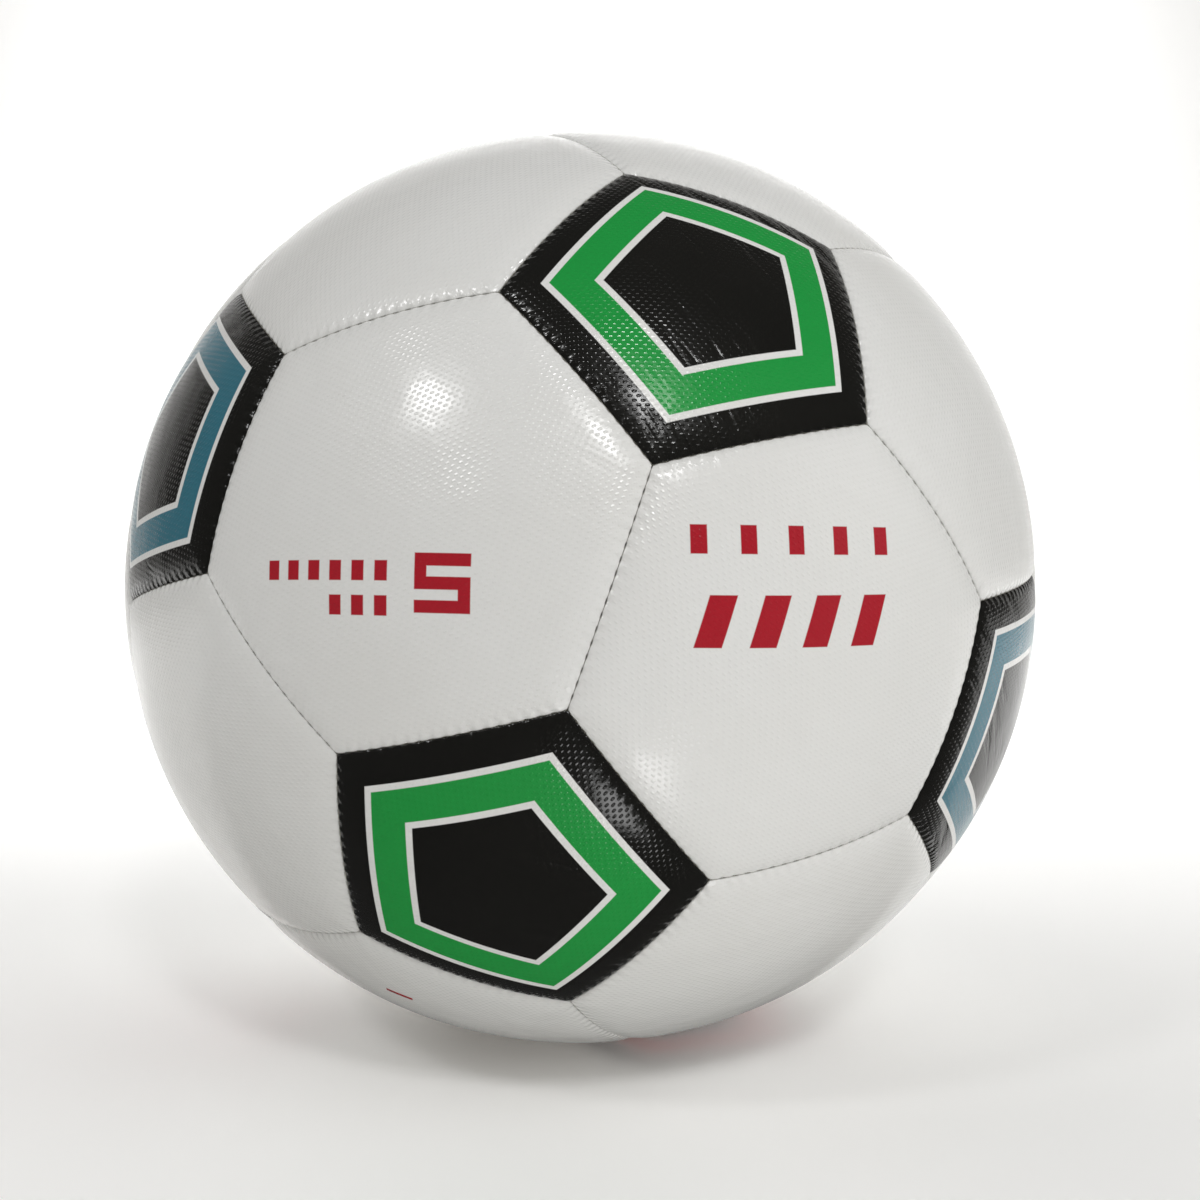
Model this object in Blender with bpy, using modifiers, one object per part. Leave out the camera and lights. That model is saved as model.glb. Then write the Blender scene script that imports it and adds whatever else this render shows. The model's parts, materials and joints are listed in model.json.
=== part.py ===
"""Stitched soccer ball of 32 panels, with its bladder, valve and seam thread.

Metres, +Z up. The origin is the centre of the ball.
"""

import math

import bmesh
import bpy
from mathutils import Euler, Matrix, Vector

# Driving dimensions: the cover
BALL_RADIUS = 0.1095
PANEL_THICKNESS = 0.0036
SEAM_GAP = 0.0003
SEAM_DROP = 0.0013
CREST_DROP = 0.000325
FLANGE_WIDTH = 0.0034
FLANGE_CREST = 0.0015
FLANGE_DEPTH = 0.0056

# Driving dimensions: the seam's thread, and how far its middle lies above the flange's foot
THREAD_RADIUS = 0.0005
THREAD_RISE = 0.0002
CHANNEL_ROOM = 0.0004
THREAD_ROOM = 0.00025

# Driving dimensions: the bladder, its valve and its two patches
BLADDER_WALL = 0.0010
NEEDLE_RADIUS = 0.0011
CORE_WALL = 0.0012
CORE_LIP = 0.0011
CORE_HEAD_THICKNESS = 0.0014
CORE_TIP = 0.0012
CORE_TIP_TAPER = 0.00069
CORE_TIP_CHAMFER = 0.0008
HOUSING_RIM = 0.0008
VALVE_BELOW_SURFACE = 0.0005
VALVE_LENGTH = 0.0110
VALVE_FLANGE_RADIUS = 0.0130
VALVE_FLANGE_THICKNESS = 0.0010
PATCH_OVERLAP = 0.0070
PATCH_THICKNESS = 0.0008
BALANCE_RADIUS = 0.0180
BALANCE_THICKNESS = 0.0016

# The gap between pieces that touch, and the room that the flats of the faceted inside need
CLEARANCE = 0.0003
FACET_ROOM = 0.00015

# How the ball lies: turned about the vertical, and rolled about the line to its front
BALL_YAW = math.radians(2.7)
BALL_ROLL = math.radians(19.2)

# Fineness of the solids
SEGMENTS_PER_EDGE = 3
BLADDER_STEPS = 28
TURN_STEPS = 20
HOLE_STEPS = 24
ARC_STEPS = 14
PATCH_ARC_STEPS = 4
FLANGE_ARC_STEPS = 3

# Worked out from the driving dimensions
THREAD_LEVEL = BALL_RADIUS - FLANGE_DEPTH + THREAD_RISE
CHANNEL_DEPTH = BALL_RADIUS - THREAD_LEVEL - THREAD_RADIUS - CHANNEL_ROOM - CLEARANCE
VALVE_STACK = PATCH_THICKNESS + CLEARANCE + VALVE_FLANGE_THICKNESS
PATCH_STACK = max(VALVE_STACK, BALANCE_THICKNESS) + 2 * CLEARANCE + FACET_ROOM
BLADDER_RADIUS = min(
    THREAD_LEVEL - THREAD_RADIUS - THREAD_ROOM - CLEARANCE,
    BALL_RADIUS - PANEL_THICKNESS - PATCH_STACK,
)
PATCH_BOTTOM = BLADDER_RADIUS + CLEARANCE
PATCH_RADIUS = VALVE_FLANGE_RADIUS + PATCH_OVERLAP
VALVE_FLANGE_BOTTOM = PATCH_BOTTOM + PATCH_THICKNESS + CLEARANCE
VALVE_TOP = BALL_RADIUS - VALVE_BELOW_SURFACE
CORE_SHANK_RADIUS = NEEDLE_RADIUS + CORE_WALL
CORE_HEAD_RADIUS = CORE_SHANK_RADIUS + CORE_LIP
VALVE_STEM_RADIUS = CORE_HEAD_RADIUS + CLEARANCE + HOUSING_RIM
STEM_HOLE_RADIUS = VALVE_STEM_RADIUS + CLEARANCE

GOLDEN = (1 + math.sqrt(5)) / 2
EDGE_LENGTH = BALL_RADIUS * 4 / math.sqrt(58 + 18 * math.sqrt(5))


def clear_scene():
    for old in list(bpy.data.objects):
        bpy.data.objects.remove(old, do_unlink=True)


def make_collection(name):
    collection = bpy.data.collections.new(name)
    bpy.context.scene.collection.children.link(collection)
    return collection


def make_material(name, colour, roughness):
    material = bpy.data.materials.new(name)
    material.use_nodes = True
    shader = material.node_tree.nodes["Principled BSDF"]
    shader.inputs["Base Color"].default_value = (*colour, 1.0)
    shader.inputs["Roughness"].default_value = roughness
    shader.inputs["Metallic"].default_value = 0.0
    return material


def add_object(name, mesh, material, collection, parent):
    """A named object that hangs from an empty, or from the scene when parent is None."""
    if material and not mesh.materials:
        mesh.materials.append(material)
    made = bpy.data.objects.new(name, mesh)
    made.parent = parent
    collection.objects.link(made)
    return made


def add_empty(name, collection, parent=None):
    empty = bpy.data.objects.new(name, None)
    empty.empty_display_size = 0.02
    empty.parent = parent
    collection.objects.link(empty)
    return empty


def finished_mesh(bm, name):
    mesh = bpy.data.meshes.new(name)
    bm.to_mesh(mesh)
    bm.free()
    mesh.shade_smooth()
    mesh.set_sharp_from_angle(angle=math.radians(35))
    return mesh


# Layout: the faces of a truncated icosahedron


def icosahedron_corners():
    corners = []
    for one in (-1, 1):
        for long in (-GOLDEN, GOLDEN):
            corners += [Vector((0, one, long)), Vector((long, 0, one)), Vector((one, long, 0))]
    return corners


def are_neighbours(a, b):
    return abs((a - b).length - 2) < 1e-6


def pentagon_centres(corners):
    """(centre, towards a corner) of each pentagon, with the front ones first."""
    faces = []
    for corner in corners:
        neighbour = next(other for other in corners if are_neighbours(corner, other))
        faces.append((corner, neighbour - corner))
    return front_first(faces)


def hexagon_centres(corners):
    """(centre, towards a corner) of each hexagon, with the front ones first."""
    faces = []
    for i, a in enumerate(corners):
        for j, b in enumerate(corners[:i]):
            for c in corners[:j]:
                if are_neighbours(a, b) and are_neighbours(b, c) and are_neighbours(a, c):
                    faces.append((a + b + c, a + a + b - (a + b + c)))
    return front_first(faces)


def front_first(faces):
    return sorted(faces, key=lambda face: tuple(-round(value, 4) for value in face[0].zyx))


def facing(centre, towards):
    """A rotation that carries +Z to the centre's direction and +X towards a corner."""
    up = centre.normalized()
    across = (towards - towards.dot(up) * up).normalized()
    return Matrix((across, up.cross(across), up)).transposed()


# Panels


def drop_on_sphere(vertex, plane_height, depth):
    """Moves a point of the flat face along its own ray, to the given depth in the ball."""
    ray = Vector((vertex.co.x, vertex.co.y, plane_height)).normalized()
    vertex.co = ray * (BALL_RADIUS - depth)


def side_reach(place, sides):
    """How far a point of the flat face lies towards its nearest side."""
    normals = [math.tau * (side + 0.5) / sides for side in range(sides)]
    return max(place.x * math.cos(angle) + place.y * math.sin(angle) for angle in normals)


def panel_mesh(name, sides):
    """A dished panel whose edges are turned in as a stitched flange; its origin is its outer middle."""
    circumradius = EDGE_LENGTH / (2 * math.sin(math.pi / sides))
    plane_height = math.sqrt(BALL_RADIUS**2 - circumradius**2)
    apothem = circumradius * math.cos(math.pi / sides)
    seam_reach = apothem - SEAM_GAP / 2
    crest_reach = apothem - FLANGE_CREST
    field_reach = apothem - FLANGE_WIDTH

    bm = bmesh.new()
    seam_radius = circumradius * seam_reach / apothem
    bmesh.ops.create_circle(bm, cap_ends=True, segments=sides, radius=seam_radius)
    bm.verts.ensure_lookup_table()
    first = bm.verts[0].co
    turn = Matrix.Rotation(-math.atan2(first.y, first.x), 4, "Z")
    bmesh.ops.transform(bm, matrix=turn, verts=bm.verts)
    bm.faces.ensure_lookup_table()
    field = bm.faces[0]
    for width in (seam_reach - crest_reach, crest_reach - field_reach):
        bmesh.ops.inset_region(
            bm, faces=[field], thickness=width, use_even_offset=True, use_boundary=True
        )
    middle = bmesh.ops.poke(bm, faces=[field])["verts"][0]
    reaches = {vertex: side_reach(vertex.co, sides) for vertex in bm.verts}
    along = [
        edge
        for edge in bm.edges
        if middle in edge.verts or abs(reaches[edge.verts[0]] - reaches[edge.verts[1]]) < 1e-6
    ]
    bmesh.ops.subdivide_edges(bm, edges=along, cuts=SEGMENTS_PER_EDGE - 1, use_grid_fill=True)

    made = bmesh.ops.extrude_face_region(bm, geom=bm.faces[:])
    inner = [item for item in made["geom"] if isinstance(item, bmesh.types.BMVert)]
    outer = [vertex for vertex in bm.verts if vertex not in set(inner)]
    for vertices, depths in (
        (outer, (SEAM_DROP, CREST_DROP, 0.0)),
        (inner, (CHANNEL_DEPTH, FLANGE_DEPTH, PANEL_THICKNESS)),
    ):
        for vertex in vertices:
            reach = side_reach(vertex.co, sides)
            ring = 0 if reach > crest_reach + 1e-5 else 1 if reach > field_reach + 1e-5 else 2
            drop_on_sphere(vertex, plane_height, depths[ring])
    bmesh.ops.recalc_face_normals(bm, faces=bm.faces[:])
    bmesh.ops.translate(bm, vec=(0, 0, -BALL_RADIUS), verts=bm.verts)
    return finished_mesh(bm, name)


def add_panels(kind, mesh, faces, material, collection, ball):
    """One object for each face of a kind, all sharing one mesh."""
    panels = []
    for number, (centre, towards) in enumerate(faces, 1):
        panel = add_object(f"{kind}_panel_{number:02d}", mesh, material, collection, ball)
        panel.location = centre.normalized() * BALL_RADIUS
        panel.rotation_euler = facing(centre, towards).to_euler()
        panels.append(panel)
    return panels


# Turned pieces, all round the valve's axis


def arc(radius, low_reach, high_reach, steps):
    """Points (reach from the axis, height) along a sphere's outline, between two reaches."""
    start = math.asin(low_reach / radius)
    end = math.asin(high_reach / radius)
    angles = [start + (end - start) * step / steps for step in range(steps + 1)]
    return [(radius * math.sin(angle), radius * math.cos(angle)) for angle in angles]


def turned(name, profile, material, collection, parent, closed=True, steps=TURN_STEPS):
    """An outline of (reach, height) points, turned once round +Z by a Screw modifier."""
    bm = bmesh.new()
    points = [bm.verts.new((reach, 0, height)) for reach, height in profile]
    pairs = list(zip(points, points[1:]))
    if closed:
        pairs.append((points[-1], points[0]))
    for start, end in pairs:
        bm.edges.new((start, end))
    piece = add_object(name, finished_mesh(bm, name), material, collection, parent)
    screw = piece.modifiers.new("Turn", "SCREW")
    screw.angle = math.tau
    screw.steps = steps
    screw.render_steps = steps
    screw.use_merge_vertices = True
    screw.merge_threshold = 0.00001
    return piece


def add_bladder(material, collection, valve):
    """A thin hollow sphere with a neck hole for the valve's stem."""
    hole = math.asin(STEM_HOLE_RADIUS / BLADDER_RADIUS)
    inner = BLADDER_RADIUS - BLADDER_WALL
    inner_hole = math.asin(STEM_HOLE_RADIUS / inner)
    profile = []
    for step in range(ARC_STEPS + 1):
        angle = hole + (math.pi - hole) * step / ARC_STEPS
        reach = BLADDER_RADIUS * math.sin(angle) if step < ARC_STEPS else 0.0
        profile.append((reach, BLADDER_RADIUS * math.cos(angle)))
    for step in range(ARC_STEPS, -1, -1):
        angle = inner_hole + (math.pi - inner_hole) * step / ARC_STEPS
        reach = inner * math.sin(angle) if step < ARC_STEPS else 0.0
        profile.append((reach, inner * math.cos(angle)))
    # The two ends that lie on the axis stay apart, and the loop closes at the neck.
    profile = profile[ARC_STEPS + 1 :] + profile[: ARC_STEPS + 1]
    return turned("bladder", profile, material, collection, valve, False, BLADDER_STEPS)


def curved_ring(bottom, thickness, hole, reach):
    """The outline of a curved washer that lies on the bladder."""
    top = arc(bottom + thickness, hole, reach, PATCH_ARC_STEPS)
    under = arc(bottom, hole, reach, PATCH_ARC_STEPS)
    return top + under[::-1]


def add_valve(material, collection, valve):
    """The rubber housing: a stem through the panel, on a curved flange over the patch."""
    flange_top = VALVE_FLANGE_BOTTOM + VALVE_FLANGE_THICKNESS
    recess = VALVE_TOP - CORE_HEAD_THICKNESS - CLEARANCE
    bottom = VALVE_TOP - VALVE_LENGTH
    profile = [(CORE_HEAD_RADIUS + CLEARANCE, VALVE_TOP), (VALVE_STEM_RADIUS, VALVE_TOP)]
    across = (VALVE_STEM_RADIUS, VALVE_FLANGE_RADIUS, FLANGE_ARC_STEPS)
    profile += arc(flange_top, *across)
    profile += arc(VALVE_FLANGE_BOTTOM, *across)[::-1]
    profile += [
        (VALVE_STEM_RADIUS, bottom),
        (CORE_SHANK_RADIUS + CLEARANCE, bottom),
        (CORE_SHANK_RADIUS + CLEARANCE, recess),
        (CORE_HEAD_RADIUS + CLEARANCE, recess),
    ]
    return turned("valve_housing", profile, material, collection, valve)


def add_core(material, collection, valve):
    """The soft plug with the blind channel that a pump's needle enters."""
    channel_end = VALVE_TOP - VALVE_LENGTH
    bottom = channel_end - CORE_TIP
    under_head = VALVE_TOP - CORE_HEAD_THICKNESS
    profile = [
        (0.0, channel_end),
        (NEEDLE_RADIUS, channel_end),
        (NEEDLE_RADIUS, VALVE_TOP),
        (CORE_HEAD_RADIUS, VALVE_TOP),
        (CORE_HEAD_RADIUS, under_head),
        (CORE_SHANK_RADIUS, under_head),
        (CORE_SHANK_RADIUS, bottom + CORE_TIP_CHAMFER),
        (CORE_SHANK_RADIUS - CORE_TIP_TAPER, bottom),
        (0.0, bottom),
    ]
    return turned("valve_core", profile, material, collection, valve, closed=False)


def cut_valve_hole(panel, helpers, valve):
    """Opens the panel that the valve's stem comes through."""
    bm = bmesh.new()
    bmesh.ops.create_cone(
        bm, cap_ends=True, segments=HOLE_STEPS, radius1=STEM_HOLE_RADIUS,
        radius2=STEM_HOLE_RADIUS, depth=4 * FLANGE_DEPTH,
        matrix=Matrix.Translation((0, 0, BALL_RADIUS)),
    )
    cutter = add_object("valve_hole_cutter", finished_mesh(bm, "valve_hole"), None, helpers, valve)
    cutter.hide_render = True
    cutter.display_type = "WIRE"
    cut = panel.modifiers.new("Valve hole", "BOOLEAN")
    cut.operation = "DIFFERENCE"
    cut.object = cutter


# Seam thread


def add_thread(corners, material, collection, ball):
    """The stitched thread, as one net of cord that follows every seam inside the flanges."""
    bm = bmesh.new()
    for a in corners:
        for b in corners:
            if are_neighbours(a, b):
                bm.verts.new((2 * a + b) / 3)
    bmesh.ops.convex_hull(bm, input=bm.verts[:])
    bmesh.ops.dissolve_limit(bm, angle_limit=0.01, verts=bm.verts[:], edges=bm.edges[:])
    bmesh.ops.subdivide_edges(bm, edges=bm.edges[:], cuts=SEGMENTS_PER_EDGE - 1)
    for vertex in bm.verts:
        vertex.co = vertex.co.normalized() * THREAD_LEVEL
    openings = bm.faces[:]
    bmesh.ops.recalc_face_normals(bm, faces=openings)
    bmesh.ops.inset_individual(bm, faces=openings, thickness=THREAD_RADIUS, use_even_offset=True)
    bmesh.ops.delete(bm, geom=openings, context="FACES_ONLY")
    mesh = finished_mesh(bm, "seam_thread")
    thread = add_object("seam_thread", mesh, material, collection, ball)
    cord = thread.modifiers.new("Cord", "SOLIDIFY")
    cord.thickness = 2 * THREAD_RADIUS
    cord.offset = 0.0
    return thread


def build():
    clear_scene()
    parts = make_collection("soccer_ball")
    helpers = make_collection("cutters")
    cover = make_material("cover_white_tpu", (0.72, 0.72, 0.69), 0.38)
    rubber = make_material("bladder_black_butyl", (0.03, 0.03, 0.03), 0.6)
    valve_rubber = make_material("valve_grey_rubber", (0.16, 0.16, 0.16), 0.55)
    core_rubber = make_material("core_pale_rubber", (0.5, 0.5, 0.46), 0.6)
    cord = make_material("thread_polyester", (0.55, 0.55, 0.5), 0.8)

    ball = add_empty("ball", parts)
    ball.rotation_mode = "QUATERNION"
    lying = Matrix.Rotation(BALL_YAW, 3, "Z") @ Matrix.Rotation(BALL_ROLL, 3, "Y")
    ball.rotation_quaternion = (lying @ Matrix.Rotation(math.pi / 2, 3, "X")).to_quaternion()

    corners = icosahedron_corners()
    pentagons = pentagon_centres(corners)
    hexagons = hexagon_centres(corners)
    add_panels("pentagon", panel_mesh("pentagon_panel", 5), pentagons, cover, parts, ball)
    hexagon = panel_mesh("hexagon_panel", 6)
    hexagon_panels = add_panels("hexagon", hexagon, hexagons, cover, parts, ball)

    # The valve is in the hexagon at the top of the front edge.
    top = Vector((0, 2 * GOLDEN + 1, GOLDEN)).normalized()
    at_valve = min(range(20), key=lambda i: -hexagons[i][0].normalized().dot(top))
    valve = add_empty("valve_axis", parts, ball)
    valve.rotation_euler = facing(*hexagons[at_valve]).to_euler()
    cut_valve_hole(hexagon_panels[at_valve], helpers, valve)

    add_thread(corners, cord, parts, ball)
    add_bladder(rubber, parts, valve)
    patch = curved_ring(PATCH_BOTTOM, PATCH_THICKNESS, STEM_HOLE_RADIUS, PATCH_RADIUS)
    turned("valve_patch", patch, rubber, parts, valve)
    add_valve(valve_rubber, parts, valve)
    add_core(core_rubber, parts, valve)
    weight = curved_ring(PATCH_BOTTOM, BALANCE_THICKNESS, 0.0, BALANCE_RADIUS)
    balance = turned("balance_patch", weight, rubber, parts, valve, closed=False)
    balance.rotation_euler = Euler((math.pi, 0, 0))


build()
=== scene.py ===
"""A stitched soccer ball of 32 panels: embossed printed cover, thread seams, valve and bladder.

Metres, +Z up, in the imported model's own frame. Sizes of the print are millimetres on the cover.
"""

import json
import math

import bpy
import numpy as np
from mathutils import Matrix, Vector


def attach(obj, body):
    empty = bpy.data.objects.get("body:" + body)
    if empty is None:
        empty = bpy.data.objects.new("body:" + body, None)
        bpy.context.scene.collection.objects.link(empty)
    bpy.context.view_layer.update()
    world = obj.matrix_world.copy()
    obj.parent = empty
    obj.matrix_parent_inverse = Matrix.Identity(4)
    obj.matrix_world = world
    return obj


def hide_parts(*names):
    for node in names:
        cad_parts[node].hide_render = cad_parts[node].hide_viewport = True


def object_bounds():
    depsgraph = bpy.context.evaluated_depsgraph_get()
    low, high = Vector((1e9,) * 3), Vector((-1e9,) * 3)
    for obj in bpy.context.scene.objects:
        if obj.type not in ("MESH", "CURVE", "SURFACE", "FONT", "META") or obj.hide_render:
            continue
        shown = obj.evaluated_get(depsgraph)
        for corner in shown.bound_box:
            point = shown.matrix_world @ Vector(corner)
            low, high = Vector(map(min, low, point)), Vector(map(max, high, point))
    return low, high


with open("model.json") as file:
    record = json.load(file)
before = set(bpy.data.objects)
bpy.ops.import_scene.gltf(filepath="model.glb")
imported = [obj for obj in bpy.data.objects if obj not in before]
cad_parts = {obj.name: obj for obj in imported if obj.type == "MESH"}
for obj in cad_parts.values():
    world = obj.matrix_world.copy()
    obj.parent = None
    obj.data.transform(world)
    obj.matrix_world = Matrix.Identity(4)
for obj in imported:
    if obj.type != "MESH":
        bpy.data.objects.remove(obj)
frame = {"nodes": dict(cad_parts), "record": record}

CAD_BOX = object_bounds()
MM = 0.001

# The ball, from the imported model
BALL_RADIUS = (CAD_BOX[1][2] - CAD_BOX[0][2]) / 2
BALL_YAW = math.radians(2.7)
BALL_ROLL = math.radians(19.2)
GOLDEN = (1 + math.sqrt(5)) / 2
ICOSAHEDRON_EDGE = 2
NEARLY_ZERO = 1e-6
EDGE_LENGTH = BALL_RADIUS * 4 / math.sqrt(58 + 18 * math.sqrt(5))
VALVE_FACE = next(mount for mount in frame["record"]["mounts"] if mount["name"] == "valve_face")
VALVE_AXIS = Vector(VALVE_FACE["axis"]).normalized()
VALVE_TOP = Vector(VALVE_FACE["pos_m"]).dot(VALVE_AXIS)
VALVE_PANEL = "hexagon_panel_07"

# Panels. The wall's steps are depths below the film's edge in the seam, and the back's rings are
# shares of the panel's reach, from the seam inwards.
FIELD_RINGS = 54
SHOULDER_RINGS = 18
STITCHES_PER_EDGE = 18
SHOULDER_WIDTH = 6.5 * MM
SHOULDER_ZONE = 6.5 * MM
SHOULDER_EASE = 1.5
SEAM_DEPTH = 1.05 * MM
SEAM_TOUCH = 0.045 * MM
NEEDLE_HOLE = 0.055 * MM
NEEDLE_PULL = 0.6 * MM
PUCKER_HEIGHT = 0.07 * MM
PUCKER_REACH = 1.2 * MM
CROWN = 0.25 * MM
PANEL_THICKNESS = 3.6 * MM
FLANGE_DEPTH = 5.6 * MM
CHANNEL_DEPTH = 4.2 * MM
FLANGE_CREST = 1.5 * MM
FLANGE_WIDTH = 3.4 * MM
WALL_STEPS = (0.9 * MM, 2.0 * MM)
BACK_RING = 0.45
BACK_INNER_RINGS = (0.7, 0.9)
STEM_HOLE_RADIUS = 4.8 * MM
HOLE_BLEND = 16 * MM
HOLE_RINGS = 9

# Stitches. A seam is shorter than SEAM_SIDE on an icosahedron whose edges are 2 long.
# The sizes are in the order of the inputs of the stitches' tree.
SEAM_SIDE = 0.7
ARCH_STEPS = 5
THREAD_SIDES = 6
FOOT_SHARE = -0.6
STITCH_SIZES = {
    "Stitches per seam": STITCHES_PER_EDGE,
    "Level": BALL_RADIUS - SEAM_DEPTH - 1.3 * MM,
    "Span": 1.6 * MM,
    "Thread radius": 0.22 * MM,
}

# Valve. The flange's rise leaves room for the patch on the bladder. The funnel is given as shares of
# the needle's radius and depths below the plug's face, and the flange's reaches are millimetres.
STEM_RADIUS = 4.5 * MM
STEM_LENGTH = 11 * MM
PLUG_RADIUS = 3.4 * MM
SHANK_RADIUS = 2.3 * MM
NEEDLE_RADIUS = 1.1 * MM
VALVE_CLEARANCE = 0.3 * MM
HEAD_THICKNESS = 1.4 * MM
TIP_LENGTH = 1.2 * MM
TIP_TAPER_START = 0.4 * MM
TIP_SHARE = 0.7
PLUG_SINK = 0.15 * MM
FUNNEL = ((1, 0.9 * MM), (1.5, 0.35 * MM), (2.2, 0.05 * MM))
ROUND_EDGE = 0.3 * MM
FLANGE_RISE = 1.4 * MM
FLANGE_THICKNESS = 1.0 * MM
FLANGE_TOP_REACHES = (4.5, 7, 10, 12.6)
FLANGE_LOW_REACHES = (13, 10, 7, 4.5)
TURN_STEPS = 64
SHARP_ANGLE = math.radians(50)
VALVE_TURN = VALVE_AXIS.to_track_quat("Z", "Y").to_matrix()
CAD_BLADDER_RADIUS = 103.05 * MM

# Camera and stage. Distances of the stage are in metres.
CAMERA_DISTANCE = 2.8397 * BALL_RADIUS
STAGE_FRONT = -3.0
STAGE_SIDE = 4.0
STAGE_BEND_START = 1.6
STAGE_BEND = 0.8
STAGE_BEND_STEPS = 16
STAGE_HEIGHT = 4.0
STAGE_GLOW = 0.09
WORLD_GLOW = 0.06

# Inks, as sRGB hex, then how strong the painted shade and dirt at the seam's needle holes is, and half of
# the ink's soft edge in millimetres
WHITE_TPU = "#E4E4E2"
WARM_TPU = "#DDDCD8"
BLACK_INK = "#11110F"
THIN_BLACK_INK = "#1A1916"
RED_INK = "#B3191F"
GREEN_INK = "#1F9440"
BLUE_INK = "#356E7E"
MARK_INK = "#A81F2B"
# The colour of the painted shade and dirt in the seam's needle holes
HOLE_SHADE_AND_DIRT = "#2A2822"
SEAM_SHADE_AND_DIRT = 0.4
INK_EDGE = 0.07

# The cover's film: embossed dashes, grain, slack and creases. Their sizes are in millimetres.
DASH_LENGTH = 1.0
DASH_WIDTH = 0.62
DASH_PITCH = 1.5
DASH_ROW_PITCH = 0.85
DASH_HEIGHT = 0.042
SKIN_GRAIN = 0.012
FILM_SLACK = 0.26
CREASE_HEIGHT = 0.22
CREASE_ON_WHITE = 0.12
CREASE_STRETCH = (0.05, 0.3, 1.0)
PUCKER_BUMP = 0.07
PUCKER_BUMP_REACH = 2.6
CREASE_TURN = math.radians(60)
GRAIN_SLANT = math.radians(12)
GRAIN_STEP = math.radians(60)
CREASE_SPREAD = 100

# The print: hexagons are white. Pentagons are black, with one coloured stripe that follows their
# seams and has thin white edges. Distances are in millimetres from the seam.
STRIPE_MIDDLE = 11
STRIPE_HALF_WIDTH = 4.5
PINSTRIPE = 1.25
ALL_OVER = 99

# Generic marks, in millimetres. A panel has a tilt in degrees, and rows of bars, each as
# (middle x, middle y, count, pitch, half width, half height, slant). The number is five bars.
ALONE = 99
MARK_EDGE = 0.08
MARKS = {
    "hexagon_panel_01": (2.5, [
        (-5, 21, 5, 9, 1.5, 2.5, 0),
        (-5, 7, 4, 10, 2.5, 4.5, 0.3),
    ]),
    "hexagon_panel_02": (3, [
        (-13, -10, 6, 4.5, 1.2, 1.75, 0),
        (-6.25, -16, 3, 4.5, 1.2, 1.75, 0),
        (9.5, -8, 1, ALONE, 5, 1.1, 0),
        (5.6, -10, 1, ALONE, 1.1, 2.6, 0),
        (9.5, -12, 1, ALONE, 5, 1.1, 0),
        (13.4, -14, 1, ALONE, 1.1, 2.6, 0),
        (9.5, -16, 1, ALONE, 5, 1.1, 0),
    ]),
    "hexagon_panel_08": (0, [
        (-7, 20.5, 1, ALONE, 3, 0.8, 0),
    ]),
}


# Small tools


def linear(hex_colour):
    """An sRGB hex colour as linear red, green, blue and 1."""
    channels = [int(hex_colour[place : place + 2], 16) / 255 for place in (1, 3, 5)]
    return [c / 12.92 if c <= 0.04045 else ((c + 0.055) / 1.055) ** 2.4 for c in channels] + [1.0]


def add_node(tree, kind, inputs=(), **settings):
    """Adds a node. An input is a value, an output, or a node whose first output it takes."""
    made = tree.nodes.new(kind)
    for name, value in settings.items():
        setattr(made, name, value)
    pairs = inputs.items() if isinstance(inputs, dict) else enumerate(inputs)
    for place, value in pairs:
        if value is None:
            continue
        if isinstance(value, bpy.types.Node):
            value = value.outputs[0]
        if isinstance(value, bpy.types.NodeSocket):
            tree.links.new(value, made.inputs[place])
        else:
            made.inputs[place].default_value = value
    return made


def add_object(name, mesh, materials):
    made = bpy.data.objects.new(name, mesh)
    bpy.context.scene.collection.objects.link(made)
    for material in materials:
        mesh.materials.append(material)
    return made


def new_material(name):
    """(material, its node tree, its Principled shader)."""
    material = bpy.data.materials.new(name)
    material.use_nodes = True
    return material, material.node_tree, material.node_tree.nodes["Principled BSDF"]


# Layout: the faces of a truncated icosahedron, in the ball's own axes


def icosahedron_corners():
    """The twelve corners of an icosahedron whose edges are 2 long."""
    corners = []
    for one in (-1, 1):
        for long in (-GOLDEN, GOLDEN):
            corners += [Vector((0, one, long)), Vector((long, 0, one)), Vector((one, long, 0))]
    return corners


def are_neighbours(a, b):
    return abs((a - b).length - ICOSAHEDRON_EDGE) < NEARLY_ZERO


def front_first(faces):
    """Faces sorted by z, then y and x, from the largest. As the ball lies, its own z is in front."""
    return sorted(faces, key=lambda face: tuple(-round(value, 4) for value in face[0].zyx))


def pentagon_faces(corners):
    """(centre, towards a corner) of each pentagon, in the order of the model's names."""
    faces = []
    for corner in corners:
        neighbour = next(other for other in corners if are_neighbours(corner, other))
        faces.append((corner, neighbour - corner))
    return front_first(faces)


def hexagon_faces(corners):
    """(centre, towards a corner) of each hexagon, in the order of the model's names."""
    faces = []
    for i, a in enumerate(corners):
        for j, b in enumerate(corners[:i]):
            for c in corners[:j]:
                if are_neighbours(a, b) and are_neighbours(b, c) and are_neighbours(a, c):
                    faces.append((a + b + c, a + a + b - (a + b + c)))
    return front_first(faces)


def facing(centre, towards):
    """A rotation that carries +Z to the centre's direction and +X towards a corner."""
    up = centre.normalized()
    across = (towards - towards.dot(up) * up).normalized()
    return Matrix((across, up.cross(across), up)).transposed()


def lying():
    """The ball's own axes as it lies."""
    rolled = Matrix.Rotation(BALL_YAW, 3, "Z") @ Matrix.Rotation(BALL_ROLL, 3, "Y")
    return rolled @ Matrix.Rotation(math.pi / 2, 3, "X")


LYING = lying()


# The print


def stripe_ink(centre):
    """A pentagon's ink. Its middle lies square to one of the ball's axes, and each axis has its own."""
    inks = (GREEN_INK, BLUE_INK, RED_INK)
    return next(ink for ink, value in zip(inks, centre) if abs(value) < NEARLY_ZERO)


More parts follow.
